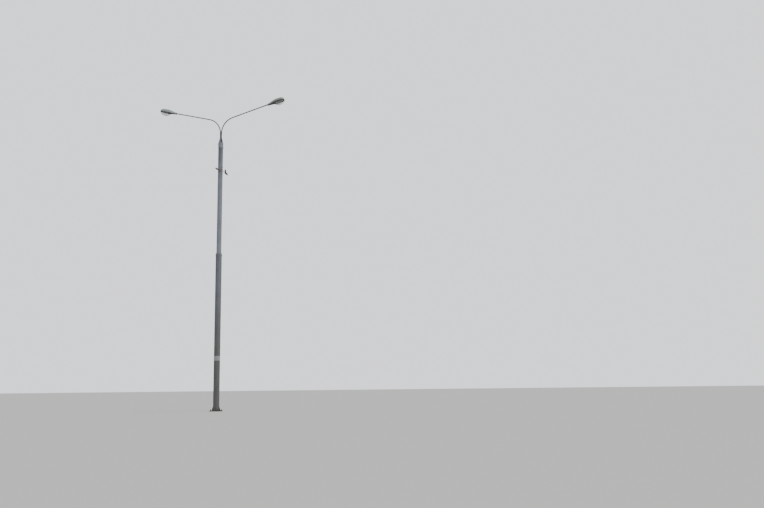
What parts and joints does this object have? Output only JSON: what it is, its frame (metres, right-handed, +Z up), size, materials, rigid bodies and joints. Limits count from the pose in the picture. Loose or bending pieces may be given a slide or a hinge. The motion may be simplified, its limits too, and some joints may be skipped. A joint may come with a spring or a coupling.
{
  "type": "road lighting column",
  "caption": "Stepped steel road lighting column with a base flange, opposed bracket arms, lanterns with hinged glass bowls and span wire anchors.",
  "frame": {"origin": "centre of the base flange's underside", "axes": "+Z up along the column, X along the two arms, Y along the road"},
  "size_m": [6.1624, 1.5654, 13.885],
  "materials": {
    "column_paint": "weathered grey paint on steel tube",
    "bracket_zinc": "weathered light grey coat on steel",
    "plate_sheet": "dull wrapped sheet",
    "rusty_steel": "rusted",
    "fitting_zinc": "galvanised, dull",
    "clamp_casting": "galvanised casting, dark with age",
    "canopy_moulding": "grey-green moulding, weathered gloss",
    "lantern_casting": "dark die casting",
    "frame_casting": "dark painted casting",
    "reflector_sheet": "anodised sheet",
    "seal_rubber": "matte",
    "porcelain": "glazed ceramic",
    "lamp_glass": "clear tubular lamp",
    "bowl_glass": "clear moulded bowl, dusty"
  },
  "bodies": {
    "column": {"base_flange": "column_paint", "base_ribs": "column_paint", "lower_tube": "column_paint", "shoulder_collar": "column_paint", "shoulder_cone": "column_paint", "upper_tube": "column_paint", "number_plate": "plate_sheet", "head_sleeve": "bracket_zinc", "head_cap": "bracket_zinc", "head_gussets": "bracket_zinc", "left_arm": "bracket_zinc", "right_arm": "bracket_zinc", "anchor_bands": "rusty_steel", "near_anchor_bracket": "rusty_steel", "far_anchor_bracket": "rusty_steel", "near_clamp_bail": "fitting_zinc", "far_clamp_bail": "fitting_zinc", "near_clamp_body": "clamp_casting", "far_clamp_body": "clamp_casting", "left_canopy": "canopy_moulding", "left_base": "lantern_casting", "left_bulkhead": "reflector_sheet", "left_neck_seal": "seal_rubber", "left_spigot_clamp": "fitting_zinc", "left_reflector": "reflector_sheet", "left_lampholder": "porcelain", "left_lamp": "lamp_glass", "left_hinge_rod": "fitting_zinc", "right_canopy": "canopy_moulding", "right_base": "lantern_casting", "right_bulkhead": "reflector_sheet", "right_neck_seal": "seal_rubber", "right_spigot_clamp": "fitting_zinc", "right_reflector": "reflector_sheet", "right_lampholder": "porcelain", "right_lamp": "lamp_glass", "right_hinge_rod": "fitting_zinc"},
    "left_bowl": {"left_bowl_frame": "frame_casting", "left_glass_bowl": "bowl_glass", "left_bowl_latch": "fitting_zinc"},
    "right_bowl": {"right_bowl_frame": "frame_casting", "right_glass_bowl": "bowl_glass", "right_bowl_latch": "fitting_zinc"}
  },
  "joints": [
    {"name": "left_bowl_hinge", "type": "hinge", "parent": "column", "child": "left_bowl", "pos_m": [-2.58963, 0, 13.62128], "axis": [0, -1, 0], "range_deg": [0, 85]},
    {"name": "right_bowl_hinge", "type": "hinge", "parent": "column", "child": "right_bowl", "pos_m": [2.58963, 0, 13.62128], "axis": [0, 1, 0], "range_deg": [0, 85]}
  ]
}
